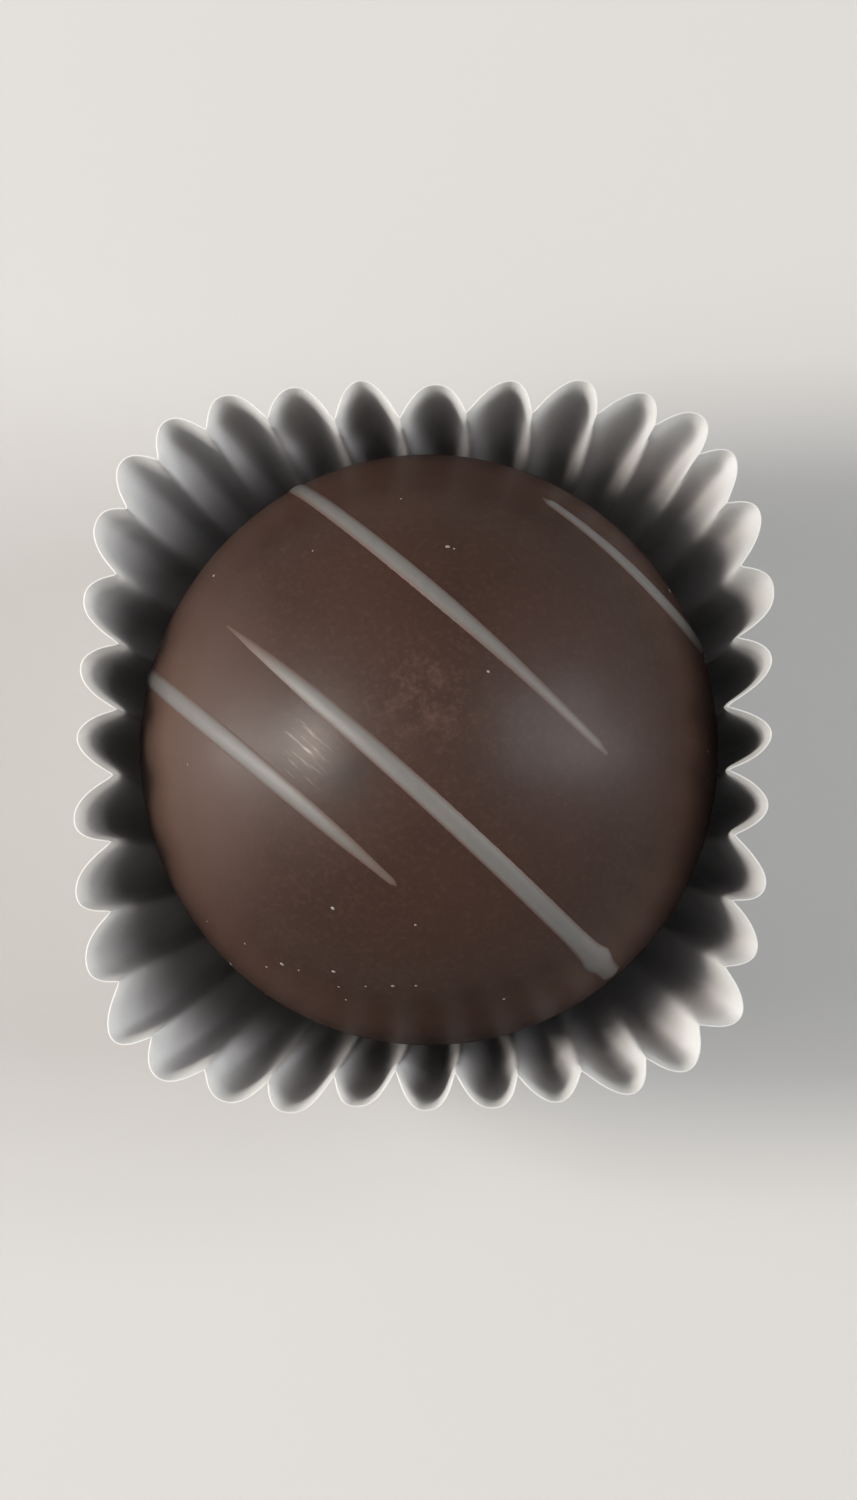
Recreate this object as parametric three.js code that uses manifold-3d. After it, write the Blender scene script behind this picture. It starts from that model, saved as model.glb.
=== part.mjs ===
// A round chocolate truffle with thin white drizzle, sitting in its pleated paper case.
// Millimetres, +Z up. The origin is the centre of the case's underside, on the surface it stands on.
import * as THREE from "three";
import { mergeVertices } from "three/addons/utils/BufferGeometryUtils.js";
import Module from "manifold-3d";

// Driving sizes of the truffle
const BALL_RADIUS = 14;
const BALL_STRETCH_X = 0.992;
const BALL_STRETCH_Y = 1.014;
const FLAT_DEPTH = 2.5; // how much of the ball is pressed flat underneath
const FLAT_ROUNDING = 1.4; // radius of the edge between the flat and the ball
const LUMP = 0.045; // how far each wave of the coating swells and dips
const LUMP_WAVES = [[3.1, 1.7, 0, 0], [0, 2.6, -3.3, 1], [2.2, 0, 2.9, 2]]; // counts along X, Y, Z, and phase

// Driving sizes of the paper case
const PAPER = 0.3;
const BASE_RADIUS = 12.5;
const WALL_SLANT = 18.8; // paper from the base's edge to the rim
const WALL_BULGE = 0.5; // how far the wall stands out of a straight cone, halfway up
const MOUTH_HALF_X = 16.5;
const MOUTH_HALF_Y = 17.3;
const MOUTH_SQUARENESS = 4.2; // 2 is an ellipse, and more is squarer
const MOUTH_SKEW = 0.2; // two opposite corners reach further than the others

// The pleats, counted from +X. They drift from even spacing in waves round the case: degrees and phase
// for one wave, two waves and so on.
const PLEATS = 36;
const PLEAT_DEPTH = 1.7;
const PLEAT_UNEVENNESS = 0.1; // share by which the depth changes from pleat to pleat
const PLEAT_ROUNDNESS = 1.5; // 1 is a plain zigzag, 2 a row of round lobes
const PLEAT_GROWTH = 0.65; // how fast the pleats deepen up the wall
const CORNER_SHALLOWING = 0.25; // share of their depth that the pleats lose at the mouth's corners
const PLEAT_DRIFT = [[1.8, 1.64], [1.9, 0.35], [0.9, 1.17], [0.6, -0.3], [0.6, -0.6]];

// The drizzle, as it lies seen from above: each stroke runs from its first end to its last and bows to
// its left. Its widths are given at shares of its length.
const STROKE_HEIGHT = 0.28; // height over width
const STROKE_LEAST_HEIGHT = 0.07;
const STROKE_LEAST_WIDTH = 0.24;
const STROKE_SINK = 0.3; // how deep the underside lies in the ball
const STROKE_EDGE_SINK = 0.05; // how deep the two edges lie in it
const STROKES = [
  {
    from: [-6.6, 12.4],
    to: [9, -0.4],
    bow: 0.55,
    widths: [[0, 0.7], [0.2, 0.9], [0.5, 0.8], [0.8, 0.4], [1, 0]],
  },
  {
    from: [-9.4, 5.7],
    to: [8.8, -10.8],
    bow: 0.35,
    widths: [[0, 0], [0.25, 0.85], [0.9, 1], [0.96, 1.3], [1, 1]],
  },
  {
    from: [-13.4, 3.4],
    to: [-0.8, -7],
    bow: 0.2,
    widths: [[0, 0.8], [0.45, 0.8], [0.75, 0.4], [1, 0]],
  },
  {
    from: [5.2, 12.3],
    to: [13.2, 4.2],
    bow: 0.8,
    widths: [[0, 0], [0.3, 0.35], [0.7, 0.5], [1, 0.1]],
  },
];

// Mesh steps
const BALL_SECTORS = 72;
const BALL_RINGS = 30;
const STROKE_STEPS = 20;
const COLUMNS_PER_PLEAT = 8;
const WALL_LEVELS = [0, 0.06, 0.3, 0.65, 1];

const wasm = await Module();
wasm.setup();

const BALL_CENTRE_Z = PAPER + BALL_RADIUS - FLAT_DEPTH;

// A geometry with shared vertices as a manifold-3d solid
function solidFrom(geometry) {
  const bare = geometry.clone();
  bare.deleteAttribute("normal");
  bare.deleteAttribute("uv");
  const merged = mergeVertices(bare, 1e-5);
  return new wasm.Manifold(
    new wasm.Mesh({
      numProp: 3,
      vertProperties: merged.attributes.position.array,
      triVerts: new Uint32Array(merged.index.array),
    }),
  );
}

// A manifold-3d solid as a geometry
function geometryFrom(solid) {
  const mesh = solid.getMesh();
  const geometry = new THREE.BufferGeometry();
  geometry.setAttribute("position", new THREE.BufferAttribute(mesh.vertProperties, 3));
  geometry.setIndex(new THREE.BufferAttribute(mesh.triVerts, 1));
  geometry.computeVertexNormals();
  return geometry;
}

// A geometry from a list of points and a list of faces
function geometryOf(points, faces) {
  const geometry = new THREE.BufferGeometry();
  geometry.setAttribute("position", new THREE.Float32BufferAttribute(points.flat(), 3));
  geometry.setIndex(faces.flat());
  geometry.computeVertexNormals();
  return geometry;
}

// How far the coating stands out of the true ball in one direction
function lump([x, y, z]) {
  let sum = 0;
  for (const [a, b, c, phase] of LUMP_WAVES) sum += Math.sin(a * x + b * y + c * z + phase);
  return LUMP * sum;
}

// The point of the ball's surface in one direction from its centre, as a unit vector
function onBall([x, y, z]) {
  const radius = BALL_RADIUS + lump([x, y, z]);
  return [radius * x * BALL_STRETCH_X, radius * y * BALL_STRETCH_Y, BALL_CENTRE_Z + radius * z];
}

// The chocolate ball: rings from the pole at the top to the rounded edge of its flat underside
function makeBall() {
  const flatAngle = Math.acos(-(BALL_RADIUS - FLAT_DEPTH - FLAT_ROUNDING) / (BALL_RADIUS - FLAT_ROUNDING));
  const flatRadius = (BALL_RADIUS - FLAT_ROUNDING) * Math.sin(flatAngle);
  const points = [onBall([0, 0, 1])];
  const faces = [];
  const rings = [];
  const addRing = (place) => {
    const start = points.length;
    for (let i = 0; i < BALL_SECTORS; i++) points.push(place((2 * Math.PI * i) / BALL_SECTORS));
    rings.push(start);
  };
  for (let k = 1; k <= BALL_RINGS; k++) {
    const polar = (flatAngle * k) / BALL_RINGS;
    addRing((a) => onBall([Math.sin(polar) * Math.cos(a), Math.sin(polar) * Math.sin(a), Math.cos(polar)]));
  }
  for (const share of [0.5, 1]) {
    const turn = flatAngle + (Math.PI - flatAngle) * share;
    const radius = flatRadius + FLAT_ROUNDING * Math.sin(turn);
    const height = share === 1 ? PAPER : PAPER + FLAT_ROUNDING * (1 + Math.cos(turn));
    addRing((a) => [radius * Math.cos(a), radius * Math.sin(a), height]);
  }
  const foot = points.push([0, 0, PAPER]) - 1;
  for (let i = 0; i < BALL_SECTORS; i++) {
    const next = (i + 1) % BALL_SECTORS;
    faces.push([0, rings[0] + i, rings[0] + next]);
    for (let k = 1; k < rings.length; k++) {
      const [upper, lower] = [rings[k - 1], rings[k]];
      faces.push([upper + i, lower + i, lower + next], [upper + i, lower + next, upper + next]);
    }
    const last = rings[rings.length - 1];
    faces.push([foot, last + next, last + i]);
  }
  return geometryOf(points, faces);
}

// The width of a stroke at a share of its length
function strokeWidth({ widths }, share) {
  const next = Math.max(1, widths.findIndex(([place]) => place >= share));
  const [[place0, width0], [place1, width1]] = [widths[next - 1], widths[next]];
  const width = THREE.MathUtils.mapLinear(share, place0, place1, width0, width1);
  return Math.max(STROKE_LEAST_WIDTH, width);
}

// The direction from the ball's centre to the middle line of a stroke at a share of its length
function strokeOut({ from, to, bow }, share) {
  const [dx, dy] = [to[0] - from[0], to[1] - from[1]];
  const side = (bow * 4 * share * (1 - share)) / Math.hypot(dx, dy);
  const u = (from[0] + dx * share - dy * side) / (BALL_RADIUS * BALL_STRETCH_X);
  const v = (from[1] + dy * share + dx * side) / (BALL_RADIUS * BALL_STRETCH_Y);
  return new THREE.Vector3(u, v, Math.sqrt(Math.max(0, 1 - u * u - v * v))).normalize();
}

// One stroke of drizzle: a low rounded ridge, its edges and underside sunk into the ball
function makeStroke(stroke) {
  const crown = [[-0.35, 0.7], [0, 1], [0.35, 0.7]]; // across in widths, and up in heights
  const slopeSpan = 0.01;
  const points = [];
  const faces = [];
  const sides = crown.length + 3;
  for (let k = 0; k <= STROKE_STEPS; k++) {
    const share = (1 - Math.cos((Math.PI * k) / STROKE_STEPS)) / 2;
    const out = strokeOut(stroke, share);
    const before = strokeOut(stroke, Math.max(0, share - slopeSpan));
    const along = strokeOut(stroke, Math.min(1, share + slopeSpan)).sub(before);
    const across = new THREE.Vector3().crossVectors(out, along).normalize();
    const middle = new THREE.Vector3(...onBall(out.toArray()));
    const width = strokeWidth(stroke, share);
    const height = Math.max(STROKE_LEAST_HEIGHT, width * STROKE_HEIGHT);
    const put = (side, up) => {
      points.push(middle.clone().addScaledVector(across, side).addScaledVector(out, up).toArray());
    };
    put(-width / 2, -STROKE_EDGE_SINK);
    for (const [side, up] of crown) put(side * width, up * height);
    put(width / 2, -STROKE_EDGE_SINK);
    put(0, -STROKE_SINK);
  }
  for (let k = 0; k < STROKE_STEPS; k++) {
    for (let i = 0; i < sides; i++) {
      const [a, b] = [k * sides + i, k * sides + ((i + 1) % sides)];
      faces.push([a, a + sides, b + sides], [a, b + sides, b]);
    }
  }
  const last = STROKE_STEPS * sides;
  for (let i = 1; i < sides - 1; i++) {
    faces.push([0, i, i + 1], [last, last + i + 1, last + i]);
  }
  return geometryOf(points, faces);
}

// The depth at a place along the ring, counted in pleats
function pleatDepth(place) {
  const turn = (2 * Math.PI * place) / PLEATS;
  return PLEAT_DEPTH * (1 + PLEAT_UNEVENNESS * (Math.sin(7 * turn + 0.5) + Math.sin(11 * turn)) / 2);
}

// The direction of a place along the ring: a pleat's outer fold lies halfway between two whole numbers
function pleatAngle(place) {
  const even = (2 * Math.PI * (place - 0.5)) / PLEATS;
  let drift = 0;
  PLEAT_DRIFT.forEach(([size, phase], i) => {
    drift += size * Math.sin((i + 1) * even + phase);
  });
  return even + THREE.MathUtils.degToRad(drift);
}

// How far the inner skin's outer folds reach at the mouth in one direction
function mouthReach(angle) {
  const n = MOUTH_SQUARENESS;
  const across = Math.abs(Math.cos(angle) / MOUTH_HALF_X) ** n;
  const along = Math.abs(Math.sin(angle) / MOUTH_HALF_Y) ** n;
  return (across + along) ** (-1 / n) + MOUTH_SKEW * Math.sin(2 * angle) - PAPER;
}

// A point of the paper wall: place counts pleats round it, and level is 0 at the base and 1 at the rim
function wallPoint(place, level, outer) {
  const angle = pleatAngle(place);
  const part = place - Math.floor(place);
  const cornering = (1 - Math.cos(4 * angle)) / 2;
  const depth = pleatDepth(place) * (1 - CORNER_SHALLOWING * cornering);
  const fold = 1 - Math.abs(2 * part - 1) ** PLEAT_ROUNDNESS;
  const reach = mouthReach(angle);
  const rimRadius = reach - depth * (1 - fold);
  const height = Math.sqrt(WALL_SLANT ** 2 - (rimRadius - BASE_RADIUS) ** 2);
  const straight = BASE_RADIUS + (reach - depth - BASE_RADIUS) * level;
  const bulge = WALL_BULGE * 4 * level * (1 - level);
  const radius = straight + bulge + depth * fold * level ** PLEAT_GROWTH + (outer ? PAPER : 0);
  const z = outer ? height * level : PAPER + (height - PAPER) * level;
  return [radius * Math.cos(angle), radius * Math.sin(angle), z];
}

// The paper case: an inner and an outer skin of pleated wall and flat base, joined along the rim
function makeCase() {
  const columns = PLEATS * COLUMNS_PER_PLEAT;
  const points = [[0, 0, PAPER], [0, 0, 0]];
  const faces = [];
  const skins = [false, true].map((outer) =>
    WALL_LEVELS.map((level) => {
      const start = points.length;
      for (let i = 0; i < columns; i++) points.push(wallPoint(i / COLUMNS_PER_PLEAT, level, outer));
      return start;
    }),
  );
  const [inner, outer] = skins;
  const rim = WALL_LEVELS.length - 1;
  for (let i = 0; i < columns; i++) {
    const next = (i + 1) % columns;
    faces.push([0, inner[0] + i, inner[0] + next], [1, outer[0] + next, outer[0] + i]);
    for (let k = 0; k < rim; k++) {
      const [a, b, c, d] = [inner[k] + i, inner[k] + next, inner[k + 1] + next, inner[k + 1] + i];
      const [e, f, g, h] = [outer[k] + i, outer[k] + next, outer[k + 1] + next, outer[k + 1] + i];
      faces.push([a, c, b], [a, d, c], [e, f, g], [e, g, h]);
    }
    const [a, b, c, d] = [inner[rim] + i, outer[rim] + i, outer[rim] + next, inner[rim] + next];
    faces.push([a, b, c], [a, c, d]);
  }
  return geometryOf(points, faces);
}

const chocolate = new THREE.MeshStandardMaterial({ color: 0x4a3029, roughness: 0.42, metalness: 0 });
const whitePaper = new THREE.MeshStandardMaterial({ color: 0xe4e2dc, roughness: 0.8, metalness: 0 });

let truffleSolid = solidFrom(makeBall());
for (const stroke of STROKES) truffleSolid = truffleSolid.add(solidFrom(makeStroke(stroke)));

const truffle = new THREE.Mesh(geometryFrom(truffleSolid), chocolate);
truffle.name = "truffle";

const paperCase = new THREE.Mesh(makeCase(), whitePaper);
paperCase.name = "paper_case";

const assembly = new THREE.Group();
assembly.add(truffle, paperCase);

export default assembly;
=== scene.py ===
import math
import random

import bpy
from mathutils import Matrix, Vector, noise


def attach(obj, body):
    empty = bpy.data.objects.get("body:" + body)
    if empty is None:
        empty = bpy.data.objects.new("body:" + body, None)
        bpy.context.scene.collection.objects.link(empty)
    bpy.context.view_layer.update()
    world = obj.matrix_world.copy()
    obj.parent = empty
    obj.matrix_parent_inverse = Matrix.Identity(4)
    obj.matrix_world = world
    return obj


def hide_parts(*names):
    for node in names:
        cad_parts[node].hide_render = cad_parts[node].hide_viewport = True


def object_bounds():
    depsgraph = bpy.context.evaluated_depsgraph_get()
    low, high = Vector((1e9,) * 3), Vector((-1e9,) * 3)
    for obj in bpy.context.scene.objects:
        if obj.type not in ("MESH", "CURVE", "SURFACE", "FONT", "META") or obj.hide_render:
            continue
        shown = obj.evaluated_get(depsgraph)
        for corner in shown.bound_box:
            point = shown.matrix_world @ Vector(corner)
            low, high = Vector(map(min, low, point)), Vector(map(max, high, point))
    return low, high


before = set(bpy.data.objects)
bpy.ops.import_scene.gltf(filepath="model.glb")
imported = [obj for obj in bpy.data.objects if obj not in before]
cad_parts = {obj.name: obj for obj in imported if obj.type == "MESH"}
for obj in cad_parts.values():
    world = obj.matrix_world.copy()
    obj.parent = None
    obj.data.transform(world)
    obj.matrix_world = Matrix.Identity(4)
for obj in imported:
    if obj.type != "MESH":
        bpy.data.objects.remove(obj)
cad_low, cad_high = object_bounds()

# Camera
# It looks almost straight down on the truffle, from a little to the right and towards the bottom of the
# picture, with a long lens. The picture is upright, 857 by 1500, and the film width is its long side.
mm = 0.001
camera_distance = 400 * mm
camera_aside = Vector((16.6, -18.6, 0)) * mm
picture_height = 72 * mm  # how much is seen at the object's middle, from the picture's bottom to its top
film_width = 36  # Blender counts this and the lens in millimetres
object_middle = (cad_low + cad_high) / 2

camera_place = object_middle + camera_aside + Vector((0, 0, camera_distance))
bpy.ops.object.camera_add(location=camera_place)
camera = bpy.context.object
camera.name = "camera"
looking = (object_middle - camera_place).normalized()
rightward = looking.cross(Vector((0, 1, 0))).normalized()
upward = rightward.cross(looking)
camera.rotation_euler = Matrix((rightward, upward, -looking)).transposed().to_euler()
camera.data.sensor_width = film_width
camera.data.lens = film_width * (camera_place - object_middle).length / picture_height
bpy.context.scene.camera = camera

# Floor and light
# A plain pale table, wide enough for the low views. A soft box and, lower down, a narrow strip light it
# from either side, the left ones stronger in all and warmer, with a small lamp above them. A faint fill
# comes from the room.
floor_width = 6.0
floor_colour = (0.37, 0.365, 0.359, 1)
floor_roughness = 0.9
light_distance = 0.6
lights = [  # name, direction round and above the object in degrees, width, height, power, colour
    ("left_soft_box", 180, 32, 0.6, 0.34, 3.2, (1.0, 0.972, 0.945)),
    ("left_strip", 180, 8, 0.6, 0.1, 2.7, (1.0, 0.99, 0.975)),
    ("left_lamp", 177, 46, 0.16, 0.16, 2.8, (1.0, 0.915, 0.82)),
    ("right_soft_box", 8, 38, 0.5, 0.32, 3.0, (0.97, 0.985, 1.0)),
    ("right_strip", 0, 9, 0.6, 0.1, 1.3, (0.98, 0.99, 1.0)),
]
fill_strength = 0.42

bpy.ops.mesh.primitive_plane_add(size=floor_width)
floor = bpy.context.object
floor.name = "floor"
floor_look = bpy.data.materials.new("pale_table")
floor_look.use_nodes = True
floor_shader = floor_look.node_tree.nodes["Principled BSDF"]
floor_shader.inputs["Base Color"].default_value = floor_colour
floor_shader.inputs["Roughness"].default_value = floor_roughness
floor.data.materials.append(floor_look)

for name, around, above, width, height, power, colour in lights:
    around, above = math.radians(around), math.radians(above)
    level = math.cos(above)
    towards = Vector((math.cos(around) * level, math.sin(around) * level, math.sin(above)))
    bpy.ops.object.light_add(type="AREA", location=object_middle + towards * light_distance)
    lamp = bpy.context.object
    lamp.name = name
    lamp.rotation_euler = towards.to_track_quat("Z", "Y").to_euler()
    lamp.data.shape = "RECTANGLE"
    lamp.data.size = height
    lamp.data.size_y = width
    lamp.data.energy = power
    lamp.data.color = colour
    lamp.visible_camera = False

room = bpy.data.worlds.new("room")
room.use_nodes = True
room.node_tree.nodes["Background"].inputs["Color"].default_value = (1, 1, 1, 1)
room.node_tree.nodes["Background"].inputs["Strength"].default_value = fill_strength
bpy.context.scene.world = room
bpy.context.scene.view_settings.view_transform = "Standard"

# Truffle
# A ball of soft filling under a thin coat of milk chocolate. It was set down while still soft, so its
# underside is pressed flat, and the coat swells and dips a little. Handling has scuffed and smeared it on
# top. Lower flank, left side and smear are painted lighter: painted reflection, sheen and highlight.
ball_radius = 14 * mm
ball_stretch = Vector((0.992, 1.014, 1))
flat_depth = 2.5 * mm
flat_rounding = 1.2 * mm
cad_paper = 0.3 * mm  # the solid case's paper, whose top the ball rests on
ball_centre = Vector((0, 0, cad_paper + ball_radius - flat_depth))
rounding_share = 0.2  # how much of the mesh's underside is the rounded edge
# The angle from straight up at which the coat ends and the rounded edge starts.
flat_turn = math.acos(-(ball_radius - flat_depth - flat_rounding) / (ball_radius - flat_rounding))
coat_swell = 0.045 * mm
coat_waves = [(3.1, 1.7, 0, 0), (0, 2.6, -3.3, 1), (2.2, 0, 2.9, 2)]  # counts along X, Y, Z, and phase
ball_cuts = 71  # along each edge of the cube that is rounded into the ball


def on_coat(direction):
    """The point of the coat's surface in one direction from the ball's centre."""
    x, y, z = direction
    swell = sum(math.sin(a * x + b * y + c * z + phase) for a, b, c, phase in coat_waves)
    return ball_centre + (ball_radius + coat_swell * swell) * direction * ball_stretch


def on_ball(direction):
    """The point of the ball in one direction: on its coat, its rounded lower edge or its flat underside."""
    turn = math.acos(max(-1.0, min(1.0, direction.z)))
    if turn <= flat_turn:
        return on_coat(direction)
    share = (turn - flat_turn) / (math.pi - flat_turn)
    outward = Vector((direction.x, direction.y, 0)).normalized()
    edge_radius = (ball_radius - flat_rounding) * math.sin(flat_turn)
    if share < rounding_share:
        bend = flat_turn + (math.pi - flat_turn) * share / rounding_share
        radius = edge_radius + flat_rounding * math.sin(bend)
        lift = flat_rounding * (1 + math.cos(bend))
    else:
        radius = edge_radius * (1 - share) / (1 - rounding_share)
        lift = 0
    return outward * radius * ball_stretch + Vector((0, 0, cad_paper + lift))


bpy.ops.object.select_all(action="DESELECT")
bpy.ops.mesh.primitive_cube_add(size=2 * ball_radius, location=ball_centre)
truffle = bpy.context.object
truffle.name = "chocolate_ball"
bpy.ops.object.transform_apply(location=True, rotation=True, scale=True)
bpy.ops.object.mode_set(mode="EDIT")
bpy.ops.mesh.subdivide(number_cuts=ball_cuts)
bpy.ops.object.mode_set(mode="OBJECT")
for vertex in truffle.data.vertices:
    vertex.co = on_ball((vertex.co - ball_centre).normalized())
bpy.ops.object.shade_smooth()


def linear(red, green, blue):
    """A colour seen on a screen, from 0 to 255, as the light that a material works with."""
    return tuple((c / 255) ** 2.2 for c in (red, green, blue)) + (1,)


def new_look(name):
    """A material, its nodes and links, its main shader, and the place on the piece."""
    look = bpy.data.materials.new(name)
    look.use_nodes = True
    nodes, links = look.node_tree.nodes, look.node_tree.links
    place = nodes.new("ShaderNodeTexCoord").outputs["Object"]
    return look, nodes, links, nodes["Principled BSDF"], place


def add_noise(nodes, links, place, size, detail=3.0, rough=0.5, drawn_out=None):
    """Noise whose patches are about as large as size, in metres, on a piece.

    drawn_out is the angle, seen from above, that the patches are stretched along, and by how much.
    """
    noise_node = nodes.new("ShaderNodeTexNoise")
    noise_node.inputs["Scale"].default_value = 1 / size
    noise_node.inputs["Detail"].default_value = detail
    noise_node.inputs["Roughness"].default_value = rough
    if drawn_out:
        angle, length = drawn_out
        turn = nodes.new("ShaderNodeMapping")
        turn.vector_type = "TEXTURE"
        turn.inputs["Rotation"].default_value = (0, 0, math.radians(angle))
        turn.inputs["Scale"].default_value = (length, 1, length)
        links.new(place, turn.inputs["Vector"])
        place = turn.outputs["Vector"]
    links.new(place, noise_node.inputs["Vector"])
    return noise_node.outputs["Fac"]


def add_range(nodes, links, value, low, high, to_low, to_high):
    """The value from low to high, turned into to_low to to_high and held there."""
    ranged = nodes.new("ShaderNodeMapRange")
    links.new(value, ranged.inputs["Value"])
    ranged.inputs["From Min"].default_value = low
    ranged.inputs["From Max"].default_value = high
    ranged.inputs["To Min"].default_value = to_low
    ranged.inputs["To Max"].default_value = to_high
    return ranged.outputs["Result"]


def add_spot(nodes, links, place, middle, reach):
    """1 round the middle of a spot, out to a fifth of its reach, and then falling to 0 at its reach."""
    away = nodes.new("ShaderNodeVectorMath")
    away.operation = "DISTANCE"
    away.inputs[1].default_value = middle
    links.new(place, away.inputs[0])
    return add_range(nodes, links, away.outputs["Value"], 0.2 * reach, reach, 1, 0)


def add_height(nodes, links, place):
    """How high a place is above the table, in metres."""
    parts = nodes.new("ShaderNodeSeparateXYZ")
    links.new(place, parts.inputs[0])
    return parts.outputs["Z"]


def add_maths(nodes, links, operation, first, second):
    """Two values multiplied, or the second subtracted from the first, as the operation says."""
    result = nodes.new("ShaderNodeMath")
    result.operation = operation
    links.new(first, result.inputs[0])
    links.new(second, result.inputs[1])
    return result.outputs["Value"]


def add_mix(nodes, links, share, first, second):
    """A colour between two others. Each is a colour or another node's output, and so is the share."""
    mixed = nodes.new("ShaderNodeMix")
    mixed.data_type = "RGBA"
    for socket, value in ((mixed.inputs[0], share), (mixed.inputs[6], first), (mixed.inputs[7], second)):
        if isinstance(value, bpy.types.NodeSocket):
            links.new(value, socket)
        else:
            socket.default_value = value
    return mixed.outputs[2]


def add_bump(nodes, links, height, distance, under=None):
    """Relief of a given height in metres, laid over other relief."""
    bump = nodes.new("ShaderNodeBump")
    bump.inputs["Distance"].default_value = distance
    links.new(height, bump.inputs["Height"])
    if under:
        links.new(under, bump.inputs["Normal"])
    return bump.outputs["Normal"]


patch_size = 7 * mm
grain_size = 0.3 * mm
ripple_size = 2.2 * mm
rubbing_size = 1.2 * mm
streak_width = 0.2 * mm
streak_length = 11  # over its width
wiping_angle = -42  # of the streaks in the smear, in degrees seen from above
# A real smear, smoother and streaked, lies where the left lamp's highlight falls. Its lighter colour is a
# painted highlight.
smear_and_highlight_spot = on_coat(Vector((-0.385, -0.03, 0.92)).normalized())
smear_and_highlight_reach = 2.7 * mm
dull_spot = on_coat(Vector((-0.238, -0.115, 0.96)).normalized())
dull_reach = 1.9 * mm
# Painted sheen: a broad spot on the left side is painted lighter, where the side light's sheen falls.
painted_sheen_side = on_coat(Vector((-0.95, 0.02, 0.3)).normalized())
painted_sheen_reach = 11 * mm
scuffed_spot = on_coat(Vector((0.03, 0.15, 1)).normalized())
scuff_reach = 3.4 * mm
painted_reflection_height = (19 * mm, 16 * mm)  # where the painted reflection of the paper on the lower flank starts, and where it is full
plain_browns = (linear(42, 27, 20), linear(48, 31, 24))
# Painted reflection: the lower flank is painted a lighter brown, for the white paper mirrored in it.
painted_reflection_brown = linear(57, 40, 33)
painted_sheen_brown = linear(77, 61, 54)
grain_brown = linear(67, 51, 43)
scuff_brown = linear(78, 59, 50)
dull_brown = linear(35, 22, 18)
# The smear's colour, a painted highlight.
painted_highlight_brown = linear(114, 98, 86)
patch_range = (0.35, 0.65, 0, 1)  # here and below, a value from and to, and the shares that these become
streak_range = (0.55, 0.68, 0.35, 1)
dull_range = (0.3, 0.7, 0.3, 0.8)
scuff_range = (0.47, 0.66, 0, 0.5)
painted_sheen_range = (0, 1, 0, 0.85)
grain_range = (0.5, 0.75, 0, 0.3)
painted_highlight_range = (0.3, 1, 0, 0.42)
satin_range = (0.3, 0.7, 0.52, 0.6)  # the patches' roughness
polish_range = (0, 1, 0, 0.28)  # how much less rough the smear is
ripple_relief = 0.03 * mm
grain_relief = 0.008 * mm
smear_relief = 0.012 * mm

chocolate, nodes, links, shader, place = new_look("milk_chocolate")
patches = add_noise(nodes, links, place, patch_size, detail=4)
grain = add_noise(nodes, links, place, grain_size, detail=4, rough=0.6)
ripple = add_noise(nodes, links, place, ripple_size, detail=2)
rubbing = add_noise(nodes, links, place, rubbing_size, detail=7, rough=0.75)
streaks = add_noise(nodes, links, place, streak_width, rough=0.6, drawn_out=(wiping_angle, streak_length))
smear_and_highlight = add_maths(nodes, links, "MULTIPLY", add_spot(nodes, links, place, smear_and_highlight_spot, smear_and_highlight_reach),
                  add_range(nodes, links, streaks, *streak_range))
# The painted sheen's spot on the left side.
painted_sheen_mask = add_spot(nodes, links, place, painted_sheen_side, painted_sheen_reach)
dulled = add_maths(nodes, links, "MULTIPLY", add_spot(nodes, links, place, dull_spot, dull_reach),
                   add_range(nodes, links, ripple, *dull_range))
scuffed = add_maths(nodes, links, "MULTIPLY", add_spot(nodes, links, place, scuffed_spot, scuff_reach),
                    add_range(nodes, links, rubbing, *scuff_range))
# The share of painted reflection, from the height on the ball.
painted_reflection_share = add_range(nodes, links, add_height(nodes, links, place), *painted_reflection_height, 0, 1)
patch_share = add_range(nodes, links, patches, *patch_range)
painted_sheen_share = add_range(nodes, links, painted_sheen_mask, *painted_sheen_range)
grain_share = add_range(nodes, links, grain, *grain_range)
# The share of painted highlight in the smear's colour.
painted_highlight_share = add_range(nodes, links, smear_and_highlight, *painted_highlight_range)
brown = add_mix(nodes, links, patch_share, *plain_browns)
brown = add_mix(nodes, links, painted_reflection_share, brown, painted_reflection_brown)
brown = add_mix(nodes, links, painted_sheen_share, brown, painted_sheen_brown)
brown = add_mix(nodes, links, grain_share, brown, grain_brown)
brown = add_mix(nodes, links, scuffed, brown, scuff_brown)
brown = add_mix(nodes, links, dulled, brown, dull_brown)
brown = add_mix(nodes, links, painted_highlight_share, brown, painted_highlight_brown)
links.new(brown, shader.inputs["Base Color"])
polish = add_range(nodes, links, smear_and_highlight, *polish_range)
satin = add_range(nodes, links, patches, *satin_range)
links.new(add_maths(nodes, links, "SUBTRACT", satin, polish), shader.inputs["Roughness"])
relief = add_bump(nodes, links, ripple, ripple_relief)
relief = add_bump(nodes, links, grain, grain_relief, under=relief)
relief = add_bump(nodes, links, smear_and_highlight, smear_relief, under=relief)
links.new(relief, shader.inputs["Normal"])
shader.inputs["Specular IOR Level"].default_value = 0.2
shader.inputs["Coat Weight"].default_value = 0.13
shader.inputs["Coat Roughness"].default_value = 0.3
truffle.data.materials.append(chocolate)
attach(truffle, "root")
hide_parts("truffle")

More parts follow.
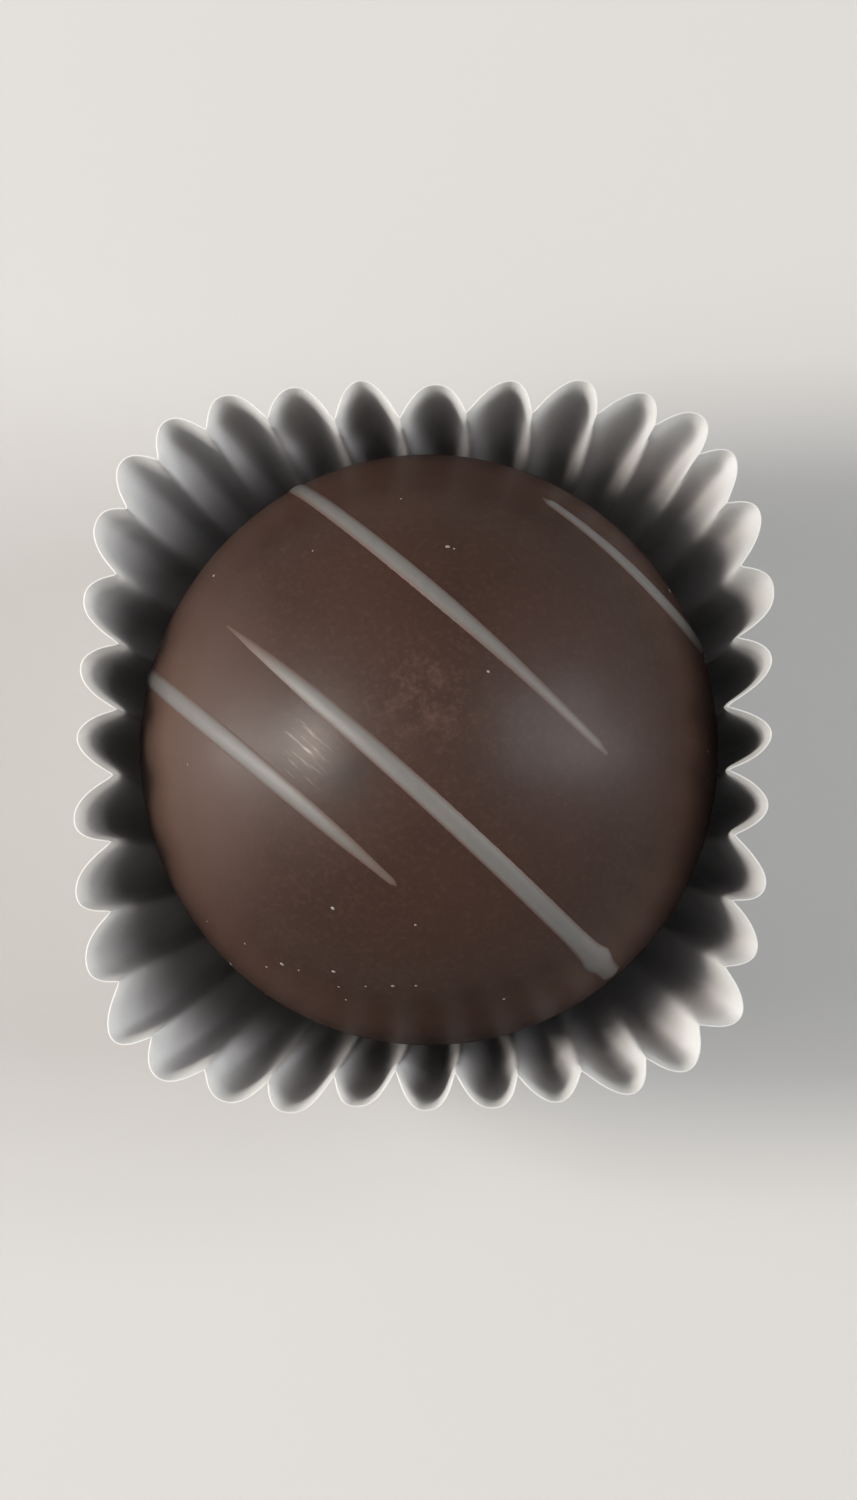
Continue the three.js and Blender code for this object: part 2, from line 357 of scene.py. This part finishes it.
# Drizzle
# Thin runs of white chocolate, trailed across the ball from the upper left to the lower right. Each is a
# low bead whose lower part has grown into the coat. It runs out in a finer tail at one end.
bead_height = 0.135  # over its width, where that is 1 mm, and less where it runs out thin
bead_roundness = 12
full_cover = 0.09 * mm  # the height at which no brown shows through
stroke_steps = 48
strokes = [  # first and last end seen from above, bow to the left, widths at shares of the length, in mm
    ((-6.41, 12.6), (8.87, -0.74), 0.38,
     [(0, 0.8), (0.35, 0.89), (0.5, 0.87), (0.65, 0.76), (0.77, 0.64), (0.92, 0.58), (0.97, 0.52),
      (1, 0.3)]),
    ((-9.4, 5.7), (8.8, -10.8), 0.33,
     [(0, 0.08), (0.07, 0.4), (0.14, 0.64), (0.25, 0.95), (0.9, 1.02), (0.945, 1.15), (0.96, 1.5),
      (0.973, 1.4), (0.985, 1.05), (1, 1)]),
    ((-13.35, 3.51), (-0.8, -7.1), 0.06,
     [(0, 0.92), (0.15, 1.02), (0.35, 1.08), (0.5, 1), (0.65, 0.87), (0.8, 0.68), (0.92, 0.44),
      (0.97, 0.36), (1, 0.2)]),
    ((5.05, 12.15), (13.45, 4.45), 0.45, [(0, 0.2), (0.08, 0.8), (0.5, 1.1), (0.85, 1.2), (1, 0.9)]),
]
creams = (linear(84, 82, 80), linear(92, 90, 88))
thin_cream = linear(72, 55, 47)
blot_size = 0.8 * mm
blot_relief = 0.02 * mm


def stroke_place(start, end, bow, share):
    """The place on the coat of a stroke's middle line, and the way out of the ball there."""
    start, end = Vector(start), Vector(end)
    along = end - start
    aside = Vector((-along.y, along.x)).normalized() * bow * 4 * share * (1 - share)
    flat = (start + along * share + aside) * mm / ball_radius
    x, y = flat.x / ball_stretch.x, flat.y / ball_stretch.y
    out = Vector((x, y, math.sqrt(max(0.0, 1 - x * x - y * y)))).normalized()
    return on_coat(out), out


def stroke_width(widths, share):
    """A stroke's width at a share of its length, between the widths given."""
    for (place0, width0), (place1, width1) in zip(widths, widths[1:]):
        if share <= place1:
            return (width0 + (width1 - width0) * (share - place0) / (place1 - place0)) * mm
    return widths[-1][1] * mm


white_chocolate, nodes, links, shader, place = new_look("white_chocolate")
cover_node = nodes.new("ShaderNodeAttribute")
cover_node.attribute_name = "cover"
blots = add_noise(nodes, links, place, blot_size)
cream = add_mix(nodes, links, blots, *creams)
cover_share = add_range(nodes, links, cover_node.outputs["Fac"], 0, 1, 0, 1)
links.new(add_mix(nodes, links, cover_share, thin_cream, cream), shader.inputs["Base Color"])
shader.inputs["Roughness"].default_value = 0.5
shader.inputs["Specular IOR Level"].default_value = 0.35
links.new(add_bump(nodes, links, blots, blot_relief), shader.inputs["Normal"])

for number, (start, end, bow, widths) in enumerate(strokes, 1):
    bpy.ops.object.select_all(action="DESELECT")
    bpy.ops.curve.primitive_nurbs_path_add()
    stroke = bpy.context.object
    stroke.name = f"drizzle_{number}"
    path = stroke.data
    path.splines.clear()
    line = path.splines.new("POLY")
    line.points.add(stroke_steps)
    path.dimensions = "3D"
    path.bevel_depth = 1  # times each point's own radius
    path.bevel_resolution = bead_roundness
    path.use_fill_caps = True
    for k, point in enumerate(line.points):
        share = (1 - math.cos(math.pi * k / stroke_steps)) / 2
        surface, out = stroke_place(start, end, bow, share)
        width = stroke_width(widths, share)
        crown = bead_height * width * math.sqrt(width / mm)
        radius = (width * width / 4 + crown * crown) / (2 * crown)
        point.co = (*(surface - out * (radius - crown)), 1)
        point.radius = radius
    bpy.ops.object.convert(target="MESH")
    stroke = bpy.context.object
    bpy.ops.object.shade_smooth()
    cover = stroke.data.attributes.new("cover", "FLOAT", "POINT")
    for vertex in stroke.data.vertices:
        out = (vertex.co - ball_centre) / ball_radius
        out = Vector((out.x / ball_stretch.x, out.y / ball_stretch.y, out.z)).normalized()
        above_coat = (vertex.co - on_coat(out)).dot(out)
        cover.data[vertex.index].value = above_coat / full_cover
    stroke.data.materials.append(white_chocolate)
    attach(stroke, "root")
    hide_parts("truffle")

# Specks
# Splashes of the same white chocolate, each a tenth of a millimetre or two across, that fell on the coat as
# the drizzle was trailed. Most lie low on the ball, where the nozzle turned back.
speck_places = [  # seen from above, in mm
    (-1.0, 11.5), (1.3, 9.1), (1.6, 9.0), (-5.1, 9.0), (-10.0, 8.1), (3.3, 3.1), (-13.3, -2.7),
    (-11.1, -1.0), (-10.4, -8.3), (-8.5, -9.4), (-6.7, -10.4), (-7.5, -10.5), (-5.9, -10.7), (-4.2, -10.8),
    (-4.0, -11.5), (-2.7, -11.5), (-1.4, -11.5), (-0.3, -11.5), (-3.7, -12.1), (-0.2, -8.7), (3.8, -12.1),
    (-4.1, -7.9),
]
low_specks = 30
low_speck_lift = (-0.4, 0.25)  # above the ball's middle, as a share of its radius
speck_radius = (0.04, 0.088)  # in mm
speck_lengthening = (1, 1.5)
speck_flatness = 0.5
speck_creams = (linear(84, 77, 71), linear(130, 125, 119))
speck_tone_size = 1.5 * mm
speck_draw = random.Random(11)

speck_ways = []
for x, y in speck_places:
    x, y = x * mm / ball_radius / ball_stretch.x, y * mm / ball_radius / ball_stretch.y
    speck_ways.append(Vector((x, y, math.sqrt(1 - x * x - y * y))))
for _ in range(low_specks):
    around = speck_draw.uniform(0, 2 * math.pi)
    lift = speck_draw.uniform(*low_speck_lift)
    level = math.sqrt(1 - lift * lift)
    speck_ways.append(Vector((math.cos(around) * level, math.sin(around) * level, lift)))

specks = []
for out in speck_ways:
    bpy.ops.object.select_all(action="DESELECT")
    bpy.ops.mesh.primitive_ico_sphere_add(subdivisions=2, radius=speck_draw.uniform(*speck_radius) * mm)
    speck = bpy.context.object
    speck.scale = (speck_draw.uniform(*speck_lengthening), 1, speck_flatness)
    speck.rotation_euler = out.to_track_quat("Z", "Y").to_euler()
    speck.location = on_coat(out)
    specks.append(speck)
for speck in specks:
    speck.select_set(True)
bpy.ops.object.join()
splashes = bpy.context.object
splashes.name = "drizzle_specks"
bpy.ops.object.transform_apply(location=True, rotation=True, scale=True)
bpy.ops.object.shade_smooth()

speck_cream, nodes, links, shader, place = new_look("speck_cream")
tones = add_noise(nodes, links, place, speck_tone_size, detail=2)
links.new(add_mix(nodes, links, tones, *speck_creams), shader.inputs["Base Color"])
shader.inputs["Roughness"].default_value = 0.4
splashes.data.materials.append(speck_cream)
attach(splashes, "root")
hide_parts("truffle")

# Paper case
# A disc of thin white greaseproof paper pressed into a cup: a flat floor, and a wall gathered in deep
# pleats that flares slightly at its cut edge. Its mouth has been squeezed to a rounded square. No two
# pleats are quite alike: they lean a little, some are rounder, and the thin paper is slightly wavy.
base_radius = 12.5 * mm
wall_slant = 18.8 * mm
wall_bulge = 0.5 * mm
mouth_half = Vector((16.36, 17.16)) * mm
mouth_squareness = 4.2  # 2 would be an ellipse
mouth_skew = 0.2 * mm  # how far two opposite corners stand out, and the other two stand in
paper_thickness = 0.06 * mm
lip_flare = 0.22 * mm
lip_start = 0.93  # the level from which the wall flares out to its cut edge
pleats = 36
pleat_drift = [(1.0, 2.51), (1.6, 0.3), (0.6, 1.34), (2.2, -0.09), (0.4, -1.62)]  # degrees, and phase
pleat_depth = 1.7 * mm
pleat_unevenness = 0.1
pleat_waves = (7, 11)  # how many times the pleats get deeper and shallower on the way round
pleat_wave_phase = 0.5
pleat_growth = 0.65  # below 1, so that the pleats deepen most near the floor
corner_shallowing = 0.25
side_deepening = 0.28 * mm  # of the inner folds at the cut edge, on the two sides along X
deepening_growth = 5
pleat_roundness = (1.9, 2.5)
pleat_lean = 0.13  # how far a pleat's ridge lies to one side, as a share of half a pleat
pleat_height = 0.08  # how much further out or in a ridge lies, as a share of the pleat's depth
floor_crease = 0.34  # the rounding of the inner folds, as a share of half a pleat
edge_crease = 0.03
crease_growth = 6
paper_wave = 0.13 * mm
paper_wave_length = 3.5 * mm
crinkle = 0.05 * mm
crinkle_length = 1.3 * mm
columns_per_pleat = 24
wall_rows = 36
floor_rows = 4
weld_distance = 0.01 * mm
sharp_angle = 55
fibre_size = 0.5 * mm
fibre_relief = 0.02 * mm
cloud_size = 3 * mm
# Painted shade: low in the cup the paper is painted greyer, with a faint pink painted reflection of the
# chocolate, and it is painted whitest at the cut edge.
painted_shade_whites = (linear(174, 172, 172), linear(184, 182, 183))
painted_lit_edge_white = linear(200, 201, 200)
painted_shade_height = (12.5 * mm, 18 * mm)  # below the first height the paper is painted in shade, and from the second up it is painted brightest
glow_colour = linear(235, 233, 231)
glow_height = (16 * mm, 18.4 * mm)  # where light starts to shine through more, and where it does most
glow_share = (0.07, 0.5)
pleat_draw = random.Random(4)

pleat_forms = [
    (pleat_draw.uniform(-pleat_lean, pleat_lean), pleat_draw.uniform(*pleat_roundness),
     1 + pleat_draw.uniform(-pleat_height, pleat_height))
    for _ in range(pleats)
]


def pleat_angle(place):
    """The direction of a place along the ring of pleats, counted in pleats."""
    even = 2 * math.pi * (place - 0.5) / pleats
    drift = sum(size * math.sin((i + 1) * even + phase) for i, (size, phase) in enumerate(pleat_drift))
    return even + math.radians(drift)


def mouth_reach(angle):
    """How far the outer folds stand from the middle at the mouth."""
    n = mouth_squareness
    across = abs(math.cos(angle) / mouth_half.x) ** n
    along = abs(math.sin(angle) / mouth_half.y) ** n
    return (across + along) ** (-1 / n) + mouth_skew * math.sin(2 * angle) - cad_paper


def wall_point(place, level):
    """A point of the wall: level is 0 where it leaves the floor and 1 at the cut edge."""
    angle = pleat_angle(place)
    turn = 2 * math.pi * place / pleats
    long_wave, short_wave = pleat_waves
    waves = math.sin(long_wave * turn + pleat_wave_phase) + math.sin(short_wave * turn)
    uneven = 1 + pleat_unevenness * waves / 2
    cornering = (1 - math.cos(4 * angle)) / 2
    depth = pleat_depth * uneven * (1 - corner_shallowing * cornering)
    lean, roundness, swell = pleat_forms[math.floor(place) % pleats]
    across = 2 * (place - math.floor(place)) - 1
    across += lean * (1 - across * across)
    rounding = floor_crease + (edge_crease - floor_crease) * level**crease_growth
    full_rise = math.hypot(1, rounding) - rounding
    from_crease = (math.hypot(1 - abs(across), rounding) - rounding) / full_rise
    fold = (1 - (1 - from_crease) ** roundness) * swell
    reach = mouth_reach(angle)
    rim_radius = reach - depth * (1 - fold)
    rim_height = math.sqrt(wall_slant**2 - (rim_radius - base_radius) ** 2)
    straight = base_radius + (reach - depth - base_radius) * level
    bulge = wall_bulge * 4 * level * (1 - level)
    deepening = side_deepening * math.cos(angle) ** 2 * level**deepening_growth
    flare = lip_flare * max(0, (level - lip_start) / (1 - lip_start)) ** 2
    radius = straight + bulge + depth * fold * level**pleat_growth - deepening * (1 - fold)
    radius += flare + cad_paper / 2
    height = rim_height * level + cad_paper / 2
    outward = Vector((math.cos(angle), math.sin(angle), 0))
    point = Vector((radius * math.cos(angle), radius * math.sin(angle), height))
    wave = paper_wave * noise.noise(point / paper_wave_length)
    wave += crinkle * noise.noise(point / crinkle_length)
    return point + outward * wave * level


columns = pleats * columns_per_pleat
rows = floor_rows + wall_rows
bpy.ops.object.select_all(action="DESELECT")
bpy.ops.mesh.primitive_grid_add(x_subdivisions=columns, y_subdivisions=rows, size=1)
case = bpy.context.object
case.name = "pleated_case"
for vertex in case.data.vertices:
    place = (vertex.co.x + 0.5) * pleats
    row = round((vertex.co.y + 0.5) * rows)
    if row < floor_rows:
        foot = wall_point(place, 0)
        vertex.co = Vector((foot.x * row / floor_rows, foot.y * row / floor_rows, foot.z))
    else:
        vertex.co = wall_point(place, (row - floor_rows) / wall_rows)
bpy.ops.object.mode_set(mode="EDIT")
bpy.ops.mesh.select_all(action="SELECT")
bpy.ops.mesh.remove_doubles(threshold=weld_distance)
bpy.ops.mesh.normals_make_consistent(inside=False)
bpy.ops.object.mode_set(mode="OBJECT")
thickness = case.modifiers.new("thickness", "SOLIDIFY")
thickness.thickness = paper_thickness
thickness.offset = 0
bpy.ops.object.modifier_apply(modifier="thickness")
bpy.ops.object.shade_smooth_by_angle(angle=math.radians(sharp_angle))

case_paper, nodes, links, shader, place = new_look("greaseproof_paper")
fibre = add_noise(nodes, links, place, fibre_size, detail=5, rough=0.6)
cloud = add_noise(nodes, links, place, cloud_size)
paper_height = add_height(nodes, links, place)
# The share of painted shade, from the height of the paper.
painted_shade_share = add_range(nodes, links, paper_height, *painted_shade_height, 0, 1)
painted_shade_white = add_mix(nodes, links, cloud, *painted_shade_whites)
links.new(add_mix(nodes, links, painted_shade_share, painted_shade_white, painted_lit_edge_white), shader.inputs["Base Color"])
shader.inputs["Roughness"].default_value = 0.75
links.new(add_bump(nodes, links, fibre, fibre_relief), shader.inputs["Normal"])
glow = nodes.new("ShaderNodeBsdfTranslucent")
glow.inputs["Color"].default_value = glow_colour
through = nodes.new("ShaderNodeMixShader")
links.new(add_range(nodes, links, paper_height, *glow_height, *glow_share), through.inputs[0])
links.new(shader.outputs[0], through.inputs[1])
links.new(glow.outputs[0], through.inputs[2])
links.new(through.outputs[0], nodes["Material Output"].inputs["Surface"])
case.data.materials.append(case_paper)
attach(case, "root")
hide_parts("paper_case")
